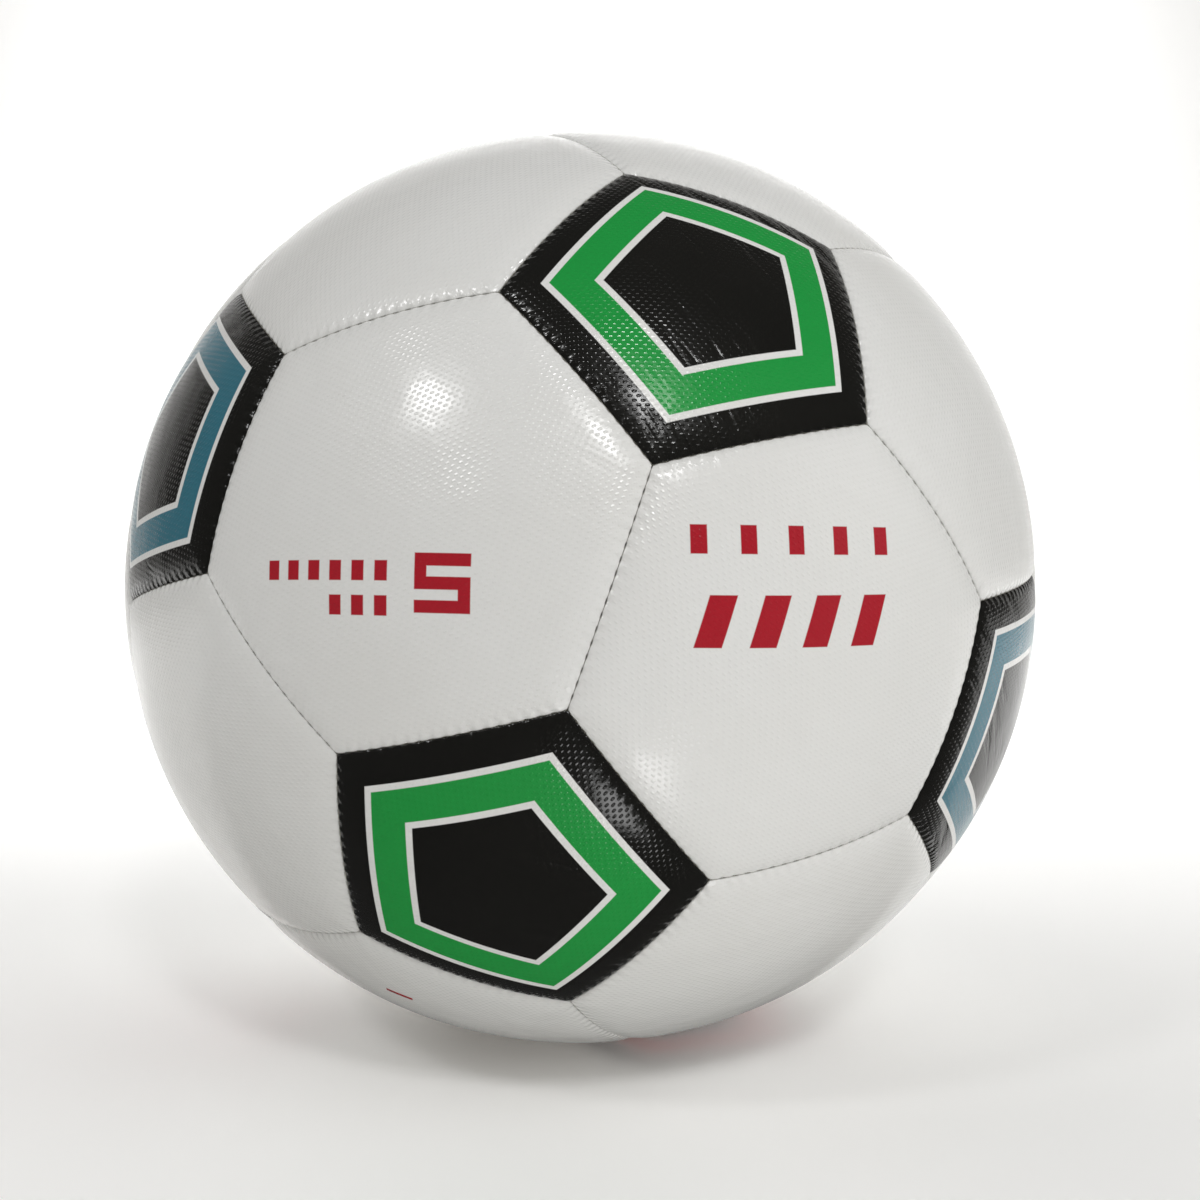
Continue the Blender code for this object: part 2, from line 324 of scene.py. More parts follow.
def panel_print(shape, centre):
    """(distance inside the white, distance inside the coloured stripe, ink) for a panel's points."""
    count = len(shape.seam)
    if shape.sides == 6:
        return np.full(count, ALL_OVER), np.full(count, -ALL_OVER), linear(WHITE_TPU)
    white = STRIPE_HALF_WIDTH - np.abs(shape.seam / MM - STRIPE_MIDDLE)
    return white, white - PINSTRIPE, linear(stripe_ink(centre))


# Panels


def ring_lattice(sides, rings, first):
    """Corner shares of a polygon's rings, and its triangles: each ring has one more step to a side."""
    starts = {}
    spots = []
    if first == 0:
        spots.append((0, 0, 0.0))
    for ring in range(max(first, 1), rings + 1):
        starts[ring] = len(spots)
        spots += [(ring, side, step / ring) for side in range(sides) for step in range(ring)]
    faces = []

    def at(ring, side, step):
        if ring == 0:
            return 0
        return starts[ring] + (side * ring + step) % (sides * ring)

    for ring in range(max(first, 1), rings + 1):
        if ring == first:
            continue
        for side in range(sides):
            for step in range(ring):
                lower = at(ring - 1, side, step)
                faces.append((at(ring, side, step), at(ring, side, step + 1), lower))
                if step < ring - 1:
                    faces.append((lower, at(ring, side, step + 1), at(ring - 1, side, step + 1)))
    return np.array(spots), np.array(faces)


def stitch_phase(along):
    """Stitches counted from the nearer end of the edge, so that the count is the same round a corner."""
    return STITCHES_PER_EDGE * np.minimum(along, 1 - along)


def stitch_wave(along):
    """1 at each needle hole and -1 halfway between two."""
    return np.cos(math.tau * stitch_phase(along))


class PanelShape:
    """A panel of a kind: its flat places, depths and faces, shared by all panels of that kind."""

    def __init__(self, sides, with_hole):
        circumradius = EDGE_LENGTH / (2 * math.sin(math.pi / sides))
        self.sides = sides
        self.height = math.sqrt(BALL_RADIUS**2 - circumradius**2)
        self.apothem = circumradius * math.cos(math.pi / sides)
        rings = FIELD_RINGS + SHOULDER_RINGS
        spots, self.faces = ring_lattice(sides, rings, HOLE_RINGS if with_hole else 0)
        field = self.apothem - SHOULDER_ZONE
        inner = np.arange(FIELD_RINGS + 1) / FIELD_RINGS * field
        shoulder = SHOULDER_ZONE * (np.arange(SHOULDER_RINGS - 1, -1, -1) / SHOULDER_RINGS) ** SHOULDER_EASE
        self.reaches = np.concatenate([inner, self.apothem - SEAM_TOUCH - shoulder])
        ring = spots[:, 0].astype(int)
        self.along = spots[:, 2]
        self.side = spots[:, 1]
        self.seam = self.apothem - self.reaches[ring]
        flat = self.flat(self.side, self.along, self.seam)
        if with_hole:
            flat = self.open_hole(flat, ring)
        wave = stitch_wave(self.along)
        slope = np.clip(1 - self.seam / SHOULDER_WIDTH, 0, 1)
        depth = SEAM_DEPTH * (1 - np.sqrt(1 - slope**2))
        depth += PUCKER_HEIGHT * wave * np.exp(-self.seam / PUCKER_REACH)
        depth -= CROWN * (1 - (self.reaches[ring] / self.apothem) ** 2)
        self.outer_count = len(spots)
        self.add_back(flat, depth, rings, with_hole)

    def flat(self, side, along, seam):
        """Places on the flat face, for a side, a share along it and a distance from the seam."""
        pulled = seam + NEEDLE_HOLE * np.clip(stitch_wave(along), 0, 1) * np.exp(-seam / NEEDLE_PULL)
        reach = (self.apothem - pulled) / math.cos(math.pi / self.sides)
        reach = np.where(seam >= self.apothem - NEARLY_ZERO * MM, 0, reach)
        start = math.tau * side / self.sides
        end = math.tau * (side + 1) / self.sides
        x = (1 - along) * np.cos(start) + along * np.cos(end)
        y = (1 - along) * np.sin(start) + along * np.sin(end)
        return np.stack([x, y], axis=-1) * reach[:, None]

    def open_hole(self, flat, ring):
        """Makes the inner rings round, so that the first one is the rim of the valve's hole."""
        reach = np.linalg.norm(flat, axis=1)
        first = self.reaches[HOLE_RINGS]
        round_reach = STEM_HOLE_RADIUS + (self.reaches[ring] - first)
        share = np.clip((self.reaches[ring] - first) / (HOLE_BLEND - first), 0, 1)
        share = share * share * (3 - 2 * share)
        return flat / reach[:, None] * ((1 - share) * round_reach + share * reach)[:, None]

    def add_back(self, flat, depth, rings, with_hole):
        """Adds the turned-in flange and the inner side, ring by ring, from the seam inwards."""
        rim = self.sides * rings
        last = self.outer_count - rim
        side, along, seam = self.side[last:], self.along[last:], self.seam[last:]
        wall = depth[last:]
        blocks = [(flat[last:], wall + step) for step in WALL_STEPS]
        for distance, deep in (
            (SEAM_TOUCH, CHANNEL_DEPTH), (FLANGE_CREST, FLANGE_DEPTH),
            (FLANGE_WIDTH, PANEL_THICKNESS), (BACK_RING * self.apothem, PANEL_THICKNESS),
        ):
            blocks.append((self.flat(side, along, np.full(rim, distance)), np.full(rim, deep)))
        if with_hole:
            outline = flat[last:] / np.linalg.norm(flat[last:], axis=1)[:, None]
            blocks.append((outline * STEM_HOLE_RADIUS, np.full(rim, PANEL_THICKNESS)))
        else:
            for share in BACK_INNER_RINGS:
                place = self.flat(side, along, np.full(rim, share * self.apothem))
                blocks.append((place, np.full(rim, PANEL_THICKNESS)))
        faces = [self.faces]
        upper = last
        count = self.outer_count
        step = np.arange(rim)
        beside = (step + 1) % rim
        for _ in blocks:
            lower = count
            quads = [(upper + step, lower + step, lower + beside)]
            quads.append((upper + step, lower + beside, upper + beside))
            faces += [np.stack(corners, axis=-1) for corners in quads]
            upper, count = lower, count + rim
        self.flat_places = np.concatenate([flat] + [places for places, _ in blocks])
        self.depth = np.concatenate([depth] + [deep for _, deep in blocks])
        if with_hole:
            faces.append(self.hole_wall(upper, rim))
        else:
            self.flat_places = np.concatenate([self.flat_places, [(0, 0)]])
            self.depth = np.append(self.depth, PANEL_THICKNESS)
            faces.append(np.stack([upper + step, np.full(rim, count), upper + beside], axis=-1))
        self.outer_faces = len(self.faces)
        self.faces = np.concatenate(faces)
        extra = len(self.depth) - self.outer_count
        self.seam = np.concatenate([self.seam, np.zeros(extra)])
        self.along = np.concatenate([self.along, np.zeros(extra)])

    def hole_wall(self, upper, rim):
        """Joins the inner side's round hole to the outer side's, whose rings have fewer steps."""
        first = self.sides * HOLE_RINGS
        faces = []
        for step in range(rim):
            here = step * first // rim % first
            after = (step + 1) * first // rim % first
            faces.append((upper + step, here, upper + (step + 1) % rim))
            if after != here:
                faces.append((here, after, upper + (step + 1) % rim))
        return np.array(faces)

    def directions(self):
        rays = np.column_stack([self.flat_places, np.full(len(self.depth), self.height)])
        return rays / np.linalg.norm(rays, axis=1)[:, None]


def add_attribute(mesh, name, kind, values):
    made = mesh.attributes.new(name, kind, "POINT")
    field = {"FLOAT": "value", "FLOAT_VECTOR": "vector", "FLOAT_COLOR": "color"}[kind]
    made.data.foreach_set(field, np.ascontiguousarray(values, np.float32).reshape(-1))


def panel_mesh(name, shape, centre, towards, random):
    """One panel in its place, with the print and the grain as attributes of its points."""
    own = facing(centre, towards)
    directions = shape.directions() @ np.array(own).T
    white, stripe, ink = panel_print(shape, centre)
    points = directions * (BALL_RADIUS - shape.depth)[:, None] @ np.array(LYING).T
    mesh = bpy.data.meshes.new(name)
    mesh.from_pydata(points, [], shape.faces)
    add_attribute(mesh, "white_mm", "FLOAT", white)
    add_attribute(mesh, "stripe_mm", "FLOAT", stripe)
    add_attribute(mesh, "stripe_ink", "FLOAT_COLOR", np.tile(ink, (len(points), 1)))
    add_attribute(mesh, "seam_mm", "FLOAT", shape.seam / MM)
    add_attribute(mesh, "stitch", "FLOAT", stitch_phase(shape.along))
    reach = np.arccos(np.clip(shape.directions()[:, 2], -1, 1)) * BALL_RADIUS / MM
    away = np.maximum(np.linalg.norm(shape.flat_places, axis=1), NEARLY_ZERO * MM)
    flat = shape.flat_places / away[:, None] * reach[:, None]
    grain_turn = random.choice([-1, 1]) * GRAIN_SLANT + GRAIN_STEP * random.integers(0, 6)
    slant = np.array(Matrix.Rotation(grain_turn, 2))
    own_creases = np.full(len(flat), random.uniform(0, CREASE_SPREAD))
    add_attribute(mesh, "grain_mm", "FLOAT_VECTOR", np.column_stack([flat @ slant.T, own_creases]))
    level = (LYING @ own).transposed() @ Vector((1, 0, 0))
    level_turn = math.atan2(level.y, level.x) - math.radians(MARKS.get(name, (0, []))[0])
    upright = np.array(Matrix.Rotation(-level_turn, 2))
    add_attribute(mesh, "mark_mm", "FLOAT_VECTOR", np.column_stack([flat @ upright.T, np.zeros(len(flat))]))
    backs = np.zeros(len(shape.faces), np.int32)
    backs[shape.outer_faces :] = 1
    mesh.polygons.foreach_set("material_index", backs)
    mesh.shade_smooth()
    return mesh


def add_panels(cover, marked, backing):
    corners = icosahedron_corners()
    random = np.random.default_rng(5)
    shapes = {5: PanelShape(5, False), 6: PanelShape(6, False)}
    for kind, sides, faces in (
        ("pentagon", 5, pentagon_faces(corners)), ("hexagon", 6, hexagon_faces(corners)),
    ):
        for number, (centre, towards) in enumerate(faces, 1):
            node = f"{kind}_panel_{number:02d}"
            shape = PanelShape(6, True) if node == VALVE_PANEL else shapes[sides]
            mesh = panel_mesh(node, shape, centre, towards, random)
            panel = add_object(f"{node}_cover", mesh, [marked.get(node, cover), backing])
            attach(panel, "root")
            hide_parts(node)


# Stitches, down in the needle holes of every seam


def seam_lines():
    """A mesh with one edge for each seam, from corner to corner of the cover."""
    corners = icosahedron_corners()
    places = []
    edges = []
    for a in corners:
        for b in corners:
            if are_neighbours(a, b):
                places.append((2 * a + b) / 3)
    for i, place in enumerate(places):
        edges += [
            (i, j) for j, other in enumerate(places[:i]) if (place - other).length < SEAM_SIDE
        ]
    mesh = bpy.data.meshes.new("seam_lines")
    mesh.from_pydata([LYING @ place for place in places], edges, [])
    return mesh


def stitch_tree(material):
    """Geometry Nodes: a small arch of thread across the seam at each needle hole."""
    tree = bpy.data.node_groups.new("stitch_row", "GeometryNodeTree")
    tree.interface.new_socket("Seams", in_out="INPUT", socket_type="NodeSocketGeometry")
    for name, value in STITCH_SIZES.items():
        kind = "NodeSocketInt" if isinstance(value, int) else "NodeSocketFloat"
        tree.interface.new_socket(name, in_out="INPUT", socket_type=kind).default_value = value
    tree.interface.new_socket("Stitches", in_out="OUTPUT", socket_type="NodeSocketGeometry")
    sizes = tree.nodes.new("NodeGroupInput").outputs
    line = add_node(tree, "GeometryNodeMeshToCurve", [sizes["Seams"]])
    count = add_node(tree, "ShaderNodeMath", [sizes["Stitches per seam"], 1.0], operation="ADD")
    spaced = add_node(
        tree, "GeometryNodeResampleCurve", {"Curve": line, "Count": count}, mode="COUNT"
    )
    place = add_node(tree, "GeometryNodeInputPosition")
    outward = add_node(tree, "ShaderNodeVectorMath", [place], operation="NORMALIZE")
    on_seam = add_node(
        tree, "ShaderNodeVectorMath", {0: outward, "Scale": sizes["Level"]}, operation="SCALE"
    )
    seated = add_node(tree, "GeometryNodeSetPosition", {"Geometry": spaced, "Position": on_seam})
    tangent = add_node(tree, "GeometryNodeInputTangent")
    turn = add_node(
        tree, "FunctionNodeAxesToRotation", [outward, tangent], primary_axis="Z", secondary_axis="Y"
    )
    half = add_node(tree, "ShaderNodeMath", [sizes["Span"], 0.5], operation="MULTIPLY")
    other = add_node(tree, "ShaderNodeMath", [sizes["Span"], -0.5], operation="MULTIPLY")
    foot = add_node(tree, "ShaderNodeMath", [sizes["Span"], FOOT_SHARE], operation="MULTIPLY")
    start = add_node(tree, "ShaderNodeCombineXYZ", [other, 0.0, foot])
    end = add_node(tree, "ShaderNodeCombineXYZ", [half, 0.0, foot])
    crown = add_node(tree, "ShaderNodeCombineXYZ", [0.0, 0.0, half])
    arch = add_node(
        tree, "GeometryNodeCurveQuadraticBezier",
        {"Resolution": ARCH_STEPS, "Start": start, "Middle": crown, "End": end},
    )
    ring = add_node(
        tree, "GeometryNodeCurvePrimitiveCircle",
        {"Resolution": THREAD_SIDES, "Radius": sizes["Thread radius"]},
    )
    thread = add_node(
        tree, "GeometryNodeCurveToMesh", {"Curve": arch, "Profile Curve": ring, "Fill Caps": True}
    )
    copies = add_node(
        tree, "GeometryNodeInstanceOnPoints",
        {"Points": seated, "Instance": thread, "Rotation": turn},
    )
    real = add_node(tree, "GeometryNodeRealizeInstances", [copies])
    painted = add_node(tree, "GeometryNodeSetMaterial", {"Geometry": real, "Material": material})
    result = tree.nodes.new("NodeGroupOutput")
    tree.links.new(painted.outputs[0], result.inputs[0])
    return tree


def add_stitches(material):
    row = bpy.data.objects.new("seam_stitches", seam_lines())
    bpy.context.scene.collection.objects.link(row)
    modifier = row.modifiers.new("Stitches", "NODES")
    modifier.node_group = stitch_tree(material)
    for item in modifier.node_group.interface.items_tree:
        if item.in_out == "INPUT" and item.name in STITCH_SIZES:
            modifier[item.identifier] = STITCH_SIZES[item.name]
    graph = bpy.context.evaluated_depsgraph_get()
    made = bpy.data.meshes.new_from_object(row.evaluated_get(graph))
    row.modifiers.clear()
    row.data = made
    made.shade_smooth()
    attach(row, "root")


# Valve


def turned_mesh(name, profile, closed):
    """An outline of (reach, height) points, turned round the valve's axis. A point of no reach is a pole."""
    rings = []
    points = []
    for reach, height in profile:
        steps = 1 if reach == 0 else TURN_STEPS
        rings.append([len(points) + step % steps for step in range(TURN_STEPS)])
        for step in range(steps):
            angle = math.tau * step / TURN_STEPS
            place = Vector((reach * math.cos(angle), reach * math.sin(angle), height))
            points.append(VALVE_TURN @ place)
    pairs = list(zip(rings, rings[1:]))
    if closed:
        pairs.append((rings[-1], rings[0]))
    faces = []
    for upper, lower in pairs:
        for step in range(TURN_STEPS):
            after = (step + 1) % TURN_STEPS
            corners = (upper[step], lower[step], lower[after], upper[after])
            faces.append(tuple(dict.fromkeys(corners)))
    mesh = bpy.data.meshes.new(name)
    mesh.from_pydata(points, [], faces)
    mesh.shade_smooth()
    mesh.set_sharp_from_angle(angle=SHARP_ANGLE)
    return mesh


def rounded(reach, height, start, steps=5):
    """A quarter round about (reach, height), from an angle in degrees, turning clockwise."""
    angles = [math.radians(start - 90 * step / steps) for step in range(steps + 1)]
    return [(reach + ROUND_EDGE * math.cos(a), height + ROUND_EDGE * math.sin(a)) for a in angles]


def on_flange(radius, reaches):
    """Points of a curved flange that lies round the bladder, at reaches in millimetres."""
    return [(reach * MM, math.sqrt(radius**2 - (reach * MM) ** 2)) for reach in reaches]


def add_valve(housing_rubber, plug_rubber):
    """The moulded housing with its flange, and the soft plug that the pump's needle opens."""
    bottom = VALVE_TOP - STEM_LENGTH
    mouth = PLUG_RADIUS + VALVE_CLEARANCE
    bore = SHANK_RADIUS + VALVE_CLEARANCE
    seat = VALVE_TOP - HEAD_THICKNESS - VALVE_CLEARANCE
    flange_low = CAD_BLADDER_RADIUS + FLANGE_RISE
    profile = rounded(mouth + ROUND_EDGE, VALVE_TOP - ROUND_EDGE, 180)
    profile += rounded(STEM_RADIUS - ROUND_EDGE, VALVE_TOP - ROUND_EDGE, 90)
    profile += on_flange(flange_low + FLANGE_THICKNESS, FLANGE_TOP_REACHES)
    profile += on_flange(flange_low, FLANGE_LOW_REACHES)
    profile += [(STEM_RADIUS, bottom), (bore, bottom), (bore, seat), (mouth, seat)]
    housing = add_object("valve_housing_moulded", turned_mesh("housing", profile, True), [housing_rubber])
    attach(housing, "root")
    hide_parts("valve_housing")

    plug_top = VALVE_TOP - PLUG_SINK
    under_head = VALVE_TOP - HEAD_THICKNESS
    tip = bottom - TIP_LENGTH
    profile = [(0, bottom), (NEEDLE_RADIUS, bottom)]
    profile += [(share * NEEDLE_RADIUS, plug_top - deep) for share, deep in FUNNEL]
    profile += rounded(PLUG_RADIUS - ROUND_EDGE, plug_top - ROUND_EDGE, 90)
    profile += [(PLUG_RADIUS, under_head), (SHANK_RADIUS, under_head)]
    profile += [(SHANK_RADIUS, bottom - TIP_TAPER_START), (TIP_SHARE * SHANK_RADIUS, tip), (0, tip)]
    plug = add_object("valve_plug_moulded", turned_mesh("plug", profile, False), [plug_rubber])
    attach(plug, "root")
    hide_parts("valve_core")


# Stage


def add_camera():
    """A level camera in front of the ball, close enough for strong perspective."""
    data = bpy.data.cameras.new("camera")
    data.lens = 36.3
    data.sensor_width = 36
    data.shift_x = 0.0163
    data.shift_y = -0.0106
    data.clip_start = 0.01
    camera = bpy.data.objects.new("camera", data)
    camera.location = (0, -CAMERA_DISTANCE, 0)
    camera.rotation_euler = (math.pi / 2, 0, 0)
    bpy.context.scene.collection.objects.link(camera)
    bpy.context.scene.camera = camera


def add_stage():
    """A pale lit floor that bends up into a back wall. Only its far half shows in the gloss."""
    material, _, shader = new_material("stage_backlit_paper")
    shader.inputs["Base Color"].default_value = linear("#F6F6F5")
    shader.inputs["Roughness"].default_value = 0.9
    shader.inputs["Emission Color"].default_value = linear("#FFF8F0")
    shader.inputs["Emission Strength"].default_value = STAGE_GLOW
    floor = CAD_BOX[0][2]
    arc = [(0.0, floor)]
    for step in range(STAGE_BEND_STEPS + 1):
        angle = math.pi / 2 * step / STAGE_BEND_STEPS
        back = STAGE_BEND_START + STAGE_BEND * math.sin(angle)
        arc.append((back, floor + STAGE_BEND * (1 - math.cos(angle))))
    arc.append((STAGE_BEND_START + STAGE_BEND, STAGE_HEIGHT))
    for name, profile in (("stage_near", [(STAGE_FRONT, floor), (0.0, floor)]), ("stage_far", arc)):
        points = [(x, y, z) for y, z in profile for x in (-STAGE_SIDE, STAGE_SIDE)]
        faces = [(2 * i, 2 * i + 1, 2 * i + 3, 2 * i + 2) for i in range(len(profile) - 1)]
        mesh = bpy.data.meshes.new(name)
        mesh.from_pydata(points, [], faces)
        mesh.shade_smooth()
        sheet = add_object(name, mesh, [material])
        sheet.visible_glossy = name == "stage_far"


def add_light(name, place, target, size, power, in_gloss=True):
    """A soft square lamp. One that is left out of the gloss lights surfaces without a reflection."""
    data = bpy.data.lights.new(name, "AREA")
    data.size = size
    data.energy = power
    lamp = bpy.data.objects.new(name, data)
    lamp.location = place
    lamp.rotation_euler = (Vector(place) - Vector(target)).to_track_quat("Z", "Y").to_euler()
    lamp.visible_glossy = in_gloss
    bpy.context.scene.collection.objects.link(lamp)


def add_lights():
    world = bpy.data.worlds.new("studio")
    world.use_nodes = True
    background = world.node_tree.nodes["Background"]
    background.inputs["Color"].default_value = linear("#FFFFFF")
    background.inputs["Strength"].default_value = WORLD_GLOW
    bpy.context.scene.world = world
    ball = (0, 0, 0)
    add_light("lamp_left", (-0.436, -0.551, 0.552), ball, size=0.10, power=1.1)
    add_light("lamp_top", (0.15, -0.71, 0.52), ball, size=0.11, power=1.8)
    # A small one close to the floor, in front of the ball and below the view, for the low glints
    add_light("lamp_low", (0.03, -0.168, -0.104), (0.01, -0.10, -0.04), size=0.03, power=0.016)
    add_light("fill_right", (1.3, -0.5, 0.6), ball, size=1.2, power=11.3, in_gloss=False)
    add_light("fill_left", (-0.9, -0.1, 1.2), ball, size=1.2, power=6.0, in_gloss=False)
    add_light("wall_wash", (0, 0.9, 1.3), (0, 2.4, 0.2), size=1.6, power=48.0, in_gloss=False)
    bpy.context.scene.view_settings.view_transform = "Standard"
    bpy.context.scene.view_settings.look = "None"


# Materials


def dash_height(tree):
    """Staggered rows of short raised dashes, 1 on a dash and 0 between, in the panel's grain."""
    grain = add_node(tree, "ShaderNodeAttribute", attribute_name="grain_mm")
    place = add_node(tree, "ShaderNodeSeparateXYZ", [grain.outputs["Vector"]])
    row = add_node(tree, "ShaderNodeMath", [place.outputs["Y"], DASH_ROW_PITCH], operation="DIVIDE")
    number = add_node(tree, "ShaderNodeMath", [row], operation="FLOOR")
    column = add_node(tree, "ShaderNodeMath", [place.outputs["X"], DASH_PITCH], operation="DIVIDE")
    staggered = add_node(
        tree, "ShaderNodeMath", [number, 0.5, column], operation="MULTIPLY_ADD"
    )
    across = add_node(tree, "ShaderNodeMath", [staggered, 0.5, -0.5], operation="WRAP")
    across = add_node(tree, "ShaderNodeMath", [across], operation="ABSOLUTE")
    straight = (DASH_LENGTH - DASH_WIDTH) / 2
    across = add_node(
        tree, "ShaderNodeMath", [across, DASH_PITCH, -straight], operation="MULTIPLY_ADD"
    )
    across = add_node(tree, "ShaderNodeMath", [across, 0.0], operation="MAXIMUM")
    upward = add_node(tree, "ShaderNodeMath", [row, 1.0, 0.0], operation="WRAP")
    upward = add_node(
        tree, "ShaderNodeMath", [upward, DASH_ROW_PITCH, -DASH_ROW_PITCH / 2],
        operation="MULTIPLY_ADD",
    )
    both = add_node(tree, "ShaderNodeCombineXYZ", [across, upward, 0.0])
    away = add_node(tree, "ShaderNodeVectorMath", [both], operation="LENGTH")
    return add_node(
        tree, "ShaderNodeMapRange",
        {"Value": away.outputs["Value"], "From Min": 0.0, "From Max": DASH_WIDTH / 2,
         "To Min": 1.0, "To Max": 0.0},
        interpolation_type="SMOOTHSTEP",
    )


def mark_mask(tree, rows):
    """1 on the generic marks of a panel, which are rows of bars."""
    place = add_node(tree, "ShaderNodeAttribute", attribute_name="mark_mm")
    nearest = None
    for x, y, count, pitch, half_width, half_height, slant in rows:
        offset = add_node(
            tree, "ShaderNodeVectorMath", [place.outputs["Vector"], (x, y, 0)], operation="SUBTRACT"
        )
        split = add_node(tree, "ShaderNodeSeparateXYZ", [offset])
        level = add_node(
            tree, "ShaderNodeMath", [split.outputs["Y"], -slant, split.outputs["X"]],
            operation="MULTIPLY_ADD",
        )
        # An even count has a bar on both sides of the middle, so its wrap is half a pitch along.
        shift = pitch / 2 if count % 2 == 0 else 0.0
        moved = add_node(tree, "ShaderNodeMath", [level, shift], operation="ADD")
        wrapped = add_node(tree, "ShaderNodeMath", [moved, pitch / 2, -pitch / 2], operation="WRAP")
        sizes = ((wrapped, half_width), (split.outputs["Y"], half_height), (level, count * pitch / 2))
        worst = None
        for value, half in sizes:
            size = add_node(tree, "ShaderNodeMath", [value], operation="ABSOLUTE")
            over = add_node(tree, "ShaderNodeMath", [size, half], operation="SUBTRACT")
            worst = over if worst is None else add_node(
                tree, "ShaderNodeMath", [worst, over], operation="MAXIMUM"
            )
        nearest = worst if nearest is None else add_node(
            tree, "ShaderNodeMath", [nearest, worst], operation="MINIMUM"
        )
    return add_node(
        tree, "ShaderNodeMapRange",
        {"Value": nearest, "From Min": -MARK_EDGE, "From Max": MARK_EDGE, "To Min": 1.0, "To Max": 0.0},
    )


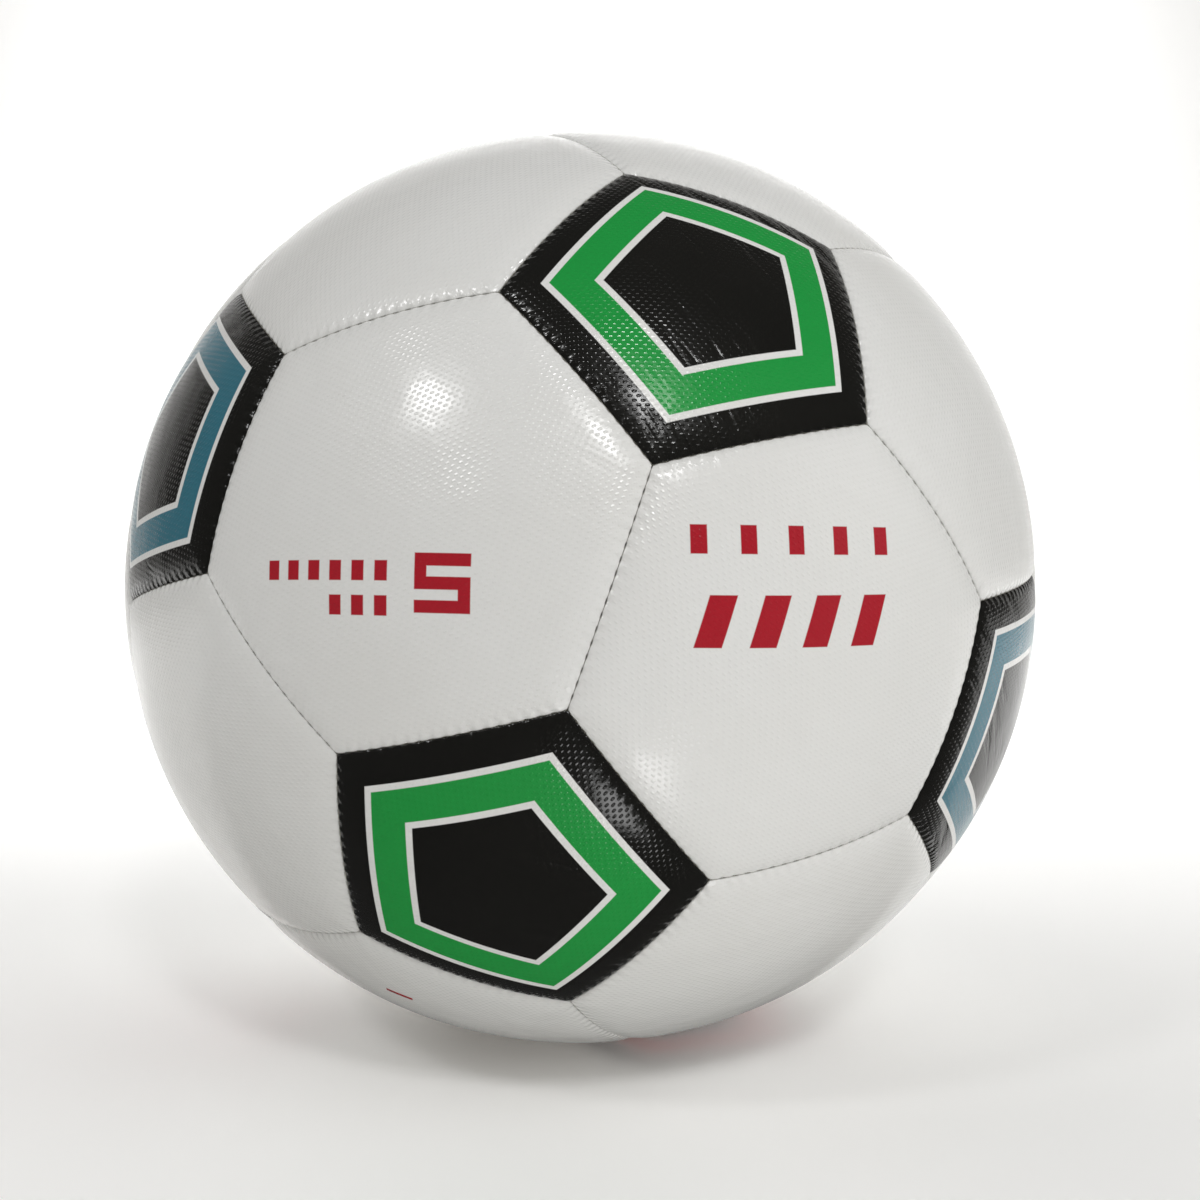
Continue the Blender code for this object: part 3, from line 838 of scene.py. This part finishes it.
def cover_material(name, marks=()):
    """Embossed TPU film over foam: a glossy printed skin with raised dashes and fine creases."""
    material, tree, shader = new_material(name)
    places = add_node(tree, "ShaderNodeTexCoord").outputs["Object"]
    white = add_node(tree, "ShaderNodeAttribute", attribute_name="white_mm").outputs["Fac"]
    stripe = add_node(tree, "ShaderNodeAttribute", attribute_name="stripe_mm").outputs["Fac"]
    ink = add_node(tree, "ShaderNodeAttribute", attribute_name="stripe_ink").outputs["Color"]
    seam = add_node(tree, "ShaderNodeAttribute", attribute_name="seam_mm").outputs["Fac"]
    stitch = add_node(tree, "ShaderNodeAttribute", attribute_name="stitch").outputs["Fac"]

    clouds = add_node(
        tree, "ShaderNodeTexNoise", {"Vector": places, "Scale": 28.0, "Detail": 3.0}
    )
    speckle = add_node(
        tree, "ShaderNodeTexNoise", {"Vector": places, "Scale": 1400.0, "Detail": 2.0}
    )
    paper = add_node(
        tree, "ShaderNodeMix", {0: clouds, 6: linear(WHITE_TPU), 7: linear(WARM_TPU)},
        data_type="RGBA",
    )
    black = add_node(
        tree, "ShaderNodeMix", {0: clouds, 6: linear(BLACK_INK), 7: linear(THIN_BLACK_INK)},
        data_type="RGBA",
    )
    edge = {"From Min": -INK_EDGE, "From Max": INK_EDGE}
    is_white = add_node(tree, "ShaderNodeMapRange", {"Value": white, **edge})
    is_stripe = add_node(tree, "ShaderNodeMapRange", {"Value": stripe, **edge})

    layers = [(paper.outputs[2], is_white), (ink, is_stripe)]
    if marks:
        layers.append((linear(MARK_INK), mark_mask(tree, marks)))

    # Painted shade, with some dirt: the colour darkens along the seam, and most at its needle holes, where
    # the holes lie in shade.
    turn = add_node(tree, "ShaderNodeMath", [stitch, math.tau], operation="MULTIPLY")
    wave = add_node(tree, "ShaderNodeMath", [turn], operation="COSINE")
    near_seam = add_node(
        tree, "ShaderNodeMapRange",
        {"Value": seam, "From Min": 0.05, "From Max": 0.26, "To Min": 1.0, "To Max": 0.0},
        interpolation_type="SMOOTHSTEP",
    )
    hole = add_node(tree, "ShaderNodeMapRange", {"Value": wave, "From Min": -0.3, "From Max": 0.6})
    needle = add_node(tree, "ShaderNodeMath", [near_seam, hole], operation="MULTIPLY")
    # How strongly the painted needle-hole shade and dirt darkens the colour
    needle_shade_and_dirt = add_node(tree, "ShaderNodeMath", [needle, SEAM_SHADE_AND_DIRT], operation="MULTIPLY")
    layers.append((linear(HOLE_SHADE_AND_DIRT), needle_shade_and_dirt))
    colour = black.outputs[2]
    for above, mask in layers:
        mixed = add_node(tree, "ShaderNodeMix", {0: mask, 6: colour, 7: above}, data_type="RGBA")
        colour = mixed.outputs[2]
    tree.links.new(colour, shader.inputs["Base Color"])

    roughness = add_node(
        tree, "ShaderNodeMapRange",
        {"Value": clouds, "From Min": 0.3, "From Max": 0.7, "To Min": 0.16, "To Max": 0.25},
    )
    tree.links.new(roughness.outputs[0], shader.inputs["Roughness"])

    # Heights in millimetres: dashes, skin grain, slack of the film, creases, puckers at the stitches
    dashes = add_node(tree, "ShaderNodeMath", [dash_height(tree), DASH_HEIGHT], operation="MULTIPLY")
    skin = add_node(tree, "ShaderNodeMath", [speckle, SKIN_GRAIN, dashes], operation="MULTIPLY_ADD")
    slack_noise = add_node(
        tree, "ShaderNodeTexNoise", {"Vector": places, "Scale": 110.0, "Detail": 2.0}
    )
    slack = add_node(
        tree, "ShaderNodeMath", [slack_noise, FILM_SLACK, skin], operation="MULTIPLY_ADD"
    )
    grain = add_node(tree, "ShaderNodeAttribute", attribute_name="grain_mm").outputs["Vector"]
    crosswise = add_node(
        tree, "ShaderNodeVectorRotate", {"Vector": grain, "Angle": CREASE_TURN},
        rotation_type="Z_AXIS",
    )
    stretched = add_node(
        tree, "ShaderNodeVectorMath", [crosswise, CREASE_STRETCH], operation="MULTIPLY"
    )
    creases = add_node(
        tree, "ShaderNodeTexNoise", {"Vector": stretched, "Scale": 1.0, "Detail": 2.0}
    )
    deepest = add_node(
        tree, "ShaderNodeMapRange",
        {"Value": white, "From Min": -0.5, "From Max": 0.5,
         "To Min": -CREASE_HEIGHT, "To Max": -CREASE_ON_WHITE * CREASE_HEIGHT},
    )
    creased = add_node(
        tree, "ShaderNodeMapRange",
        {"Value": clouds, "From Min": 0.48, "From Max": 0.62, "To Min": 0.05, "To Max": 1.0},
    )
    deepest = add_node(tree, "ShaderNodeMath", [deepest, creased], operation="MULTIPLY")
    deep = add_node(
        tree, "ShaderNodeMapRange",
        {"Value": creases, "From Min": 0.48, "From Max": 0.72, "To Min": 0.0, "To Max": deepest},
        interpolation_type="SMOOTHSTEP",
    )
    slack = add_node(tree, "ShaderNodeMath", [slack, deep], operation="ADD")
    pucker_reach = add_node(
        tree, "ShaderNodeMapRange",
        {"Value": seam, "From Min": 0.0, "From Max": PUCKER_BUMP_REACH,
         "To Min": -PUCKER_BUMP, "To Max": 0.0},
    )
    height = add_node(
        tree, "ShaderNodeMath", [wave, pucker_reach, slack], operation="MULTIPLY_ADD"
    )
    bump = add_node(tree, "ShaderNodeBump", {"Height": height, "Strength": 1.0, "Distance": MM})
    tree.links.new(bump.outputs[0], shader.inputs["Normal"])
    shader.inputs["IOR"].default_value = 1.5
    return material


def backing_material():
    """Poly-cotton cloth laminated under the foam: matt, off-white, with a plain weave."""
    material, tree, shader = new_material("backing_poly_cotton_cloth")
    places = add_node(tree, "ShaderNodeTexCoord").outputs["Object"]
    weave = add_node(tree, "ShaderNodeTexWave", {"Vector": places, "Scale": 700.0, "Distortion": 0.6})
    shade = add_node(tree, "ShaderNodeValToRGB", [weave.outputs["Fac"]])
    shade.color_ramp.elements[0].color = linear("#8E8B80")
    shade.color_ramp.elements[1].color = linear("#C9C6BA")
    tree.links.new(shade.outputs[0], shader.inputs["Base Color"])
    bump = add_node(
        tree, "ShaderNodeBump", {"Height": weave.outputs["Fac"], "Strength": 0.6, "Distance": 0.2 * MM}
    )
    tree.links.new(bump.outputs[0], shader.inputs["Normal"])
    shader.inputs["Roughness"].default_value = 0.9
    return material


def rubber_material(name, dark, pale, grain):
    """Moulded rubber: matt, with a fine mould grain and a faint bloom."""
    material, tree, shader = new_material(name)
    places = add_node(tree, "ShaderNodeTexCoord").outputs["Object"]
    bloom = add_node(tree, "ShaderNodeTexNoise", {"Vector": places, "Scale": 90.0, "Detail": 4.0})
    shade = add_node(tree, "ShaderNodeValToRGB", [bloom.outputs["Fac"]])
    shade.color_ramp.elements[0].color = linear(dark)
    shade.color_ramp.elements[1].color = linear(pale)
    tree.links.new(shade.outputs[0], shader.inputs["Base Color"])
    fine = add_node(tree, "ShaderNodeTexNoise", {"Vector": places, "Scale": grain, "Detail": 2.0})
    bump = add_node(
        tree, "ShaderNodeBump", {"Height": fine.outputs["Fac"], "Strength": 0.5, "Distance": 0.1 * MM}
    )
    tree.links.new(bump.outputs[0], shader.inputs["Normal"])
    shader.inputs["Roughness"].default_value = 0.55
    return material


def thread_material():
    """Bonded polyester thread: twisted plies, off-white, with a low sheen."""
    material, tree, shader = new_material("thread_bonded_polyester")
    places = add_node(tree, "ShaderNodeTexCoord").outputs["Object"]
    plies = add_node(tree, "ShaderNodeTexWave", {"Vector": places, "Scale": 900.0, "Distortion": 1.0})
    shade = add_node(tree, "ShaderNodeValToRGB", [plies.outputs["Fac"]])
    shade.color_ramp.elements[0].color = linear("#8A877C")
    shade.color_ramp.elements[1].color = linear("#D8D5C8")
    tree.links.new(shade.outputs[0], shader.inputs["Base Color"])
    bump = add_node(
        tree, "ShaderNodeBump", {"Height": plies.outputs["Fac"], "Strength": 0.7, "Distance": 0.1 * MM}
    )
    tree.links.new(bump.outputs[0], shader.inputs["Normal"])
    shader.inputs["Roughness"].default_value = 0.6
    return material


def dress_nodes(thread):
    """Materials for the model's own pieces that stay as they are."""
    rubber = rubber_material("bladder_butyl_rubber", "#161616", "#2A2927", 2500.0)
    for name in ("bladder", "valve_patch", "balance_patch"):
        frame["nodes"][name].material_slots[0].material = rubber
    frame["nodes"]["seam_thread"].material_slots[0].material = thread


add_camera()
add_stage()
add_lights()
COVER = cover_material("cover_embossed_tpu")
MARKED = {
    node: cover_material(f"cover_embossed_tpu_marked_{number}", rows)
    for number, (node, (_, rows)) in enumerate(MARKS.items(), 1)
}
add_panels(COVER, MARKED, backing_material())
THREAD = thread_material()
add_stitches(THREAD)
add_valve(
    rubber_material("valve_moulded_rubber", "#232323", "#3A3A38", 3000.0),
    rubber_material("valve_plug_soft_rubber", "#8F8D84", "#B4B1A6", 3000.0),
)
dress_nodes(THREAD)
